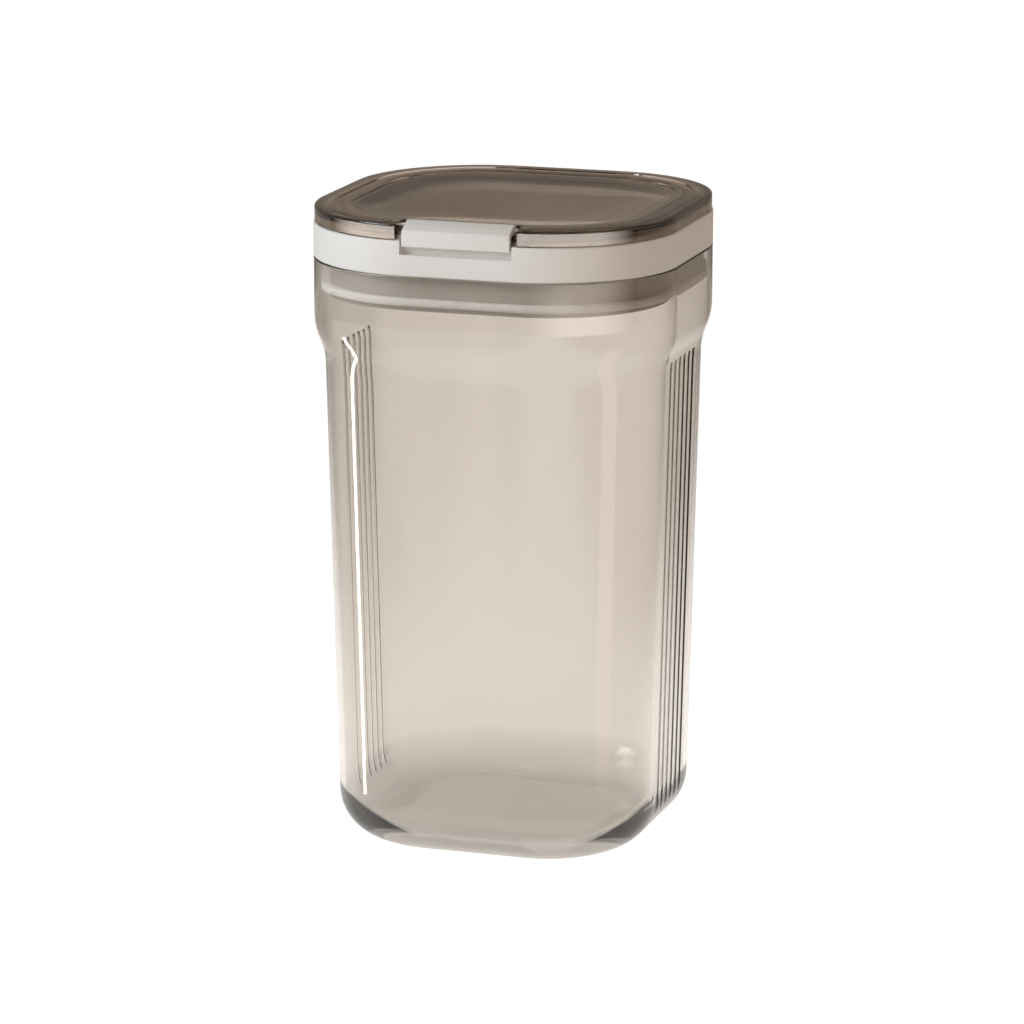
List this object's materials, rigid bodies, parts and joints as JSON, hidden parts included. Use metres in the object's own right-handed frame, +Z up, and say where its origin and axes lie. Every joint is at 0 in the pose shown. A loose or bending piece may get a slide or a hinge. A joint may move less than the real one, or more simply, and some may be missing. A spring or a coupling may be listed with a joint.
{
  "type": "airtight storage jar",
  "caption": "Clear rounded-square kitchen storage jar with fluted sides, a sealed lift-off lid frame, a smoky flip cover on a rear hinge and a front snap clip.",
  "frame": {"origin": "middle of the flat base", "axes": "+Z up through the mouth, -Y towards the clip at the front, +Y towards the hinge"},
  "size_m": [0.104, 0.1064, 0.1821],
  "materials": {
    "clear_jar": "clear injection-moulded plastic with a faint warm smoke tint",
    "white_plastic": "satin moulded white",
    "grey_plastic": "frosted translucent grey",
    "silicone": "matte translucent white",
    "smoky_plastic": "polished smoky brown-grey transparent",
    "pin_steel": "drawn stainless wire"
  },
  "bodies": {
    "jar": {"jar_body": "clear_jar"},
    "lid_frame": {"lid_band": "white_plastic", "neck_plug": "grey_plastic", "neck_seal": "silicone", "hinge_pin": "pin_steel"},
    "cover": {"flip_cover": "smoky_plastic", "cover_gasket": "silicone", "clip_pin": "pin_steel"},
    "clip": {"snap_clip": "white_plastic"}
  },
  "joints": [
    {"name": "lid_lift", "type": "slide", "parent": "jar", "child": "lid_frame", "axis": [0, 0, 1], "range_m": [0, 0.06]},
    {"name": "cover_flip", "type": "hinge", "parent": "lid_frame", "child": "cover", "pos_m": [0, 0.052, 0.1774], "axis": [-1, 0, 0], "range_deg": [0, 100]},
    {"name": "clip_swing", "type": "hinge", "parent": "cover", "child": "clip", "pos_m": [0, -0.0468, 0.1806], "axis": [-1, 0, 0], "range_deg": [0, 95]}
  ]
}
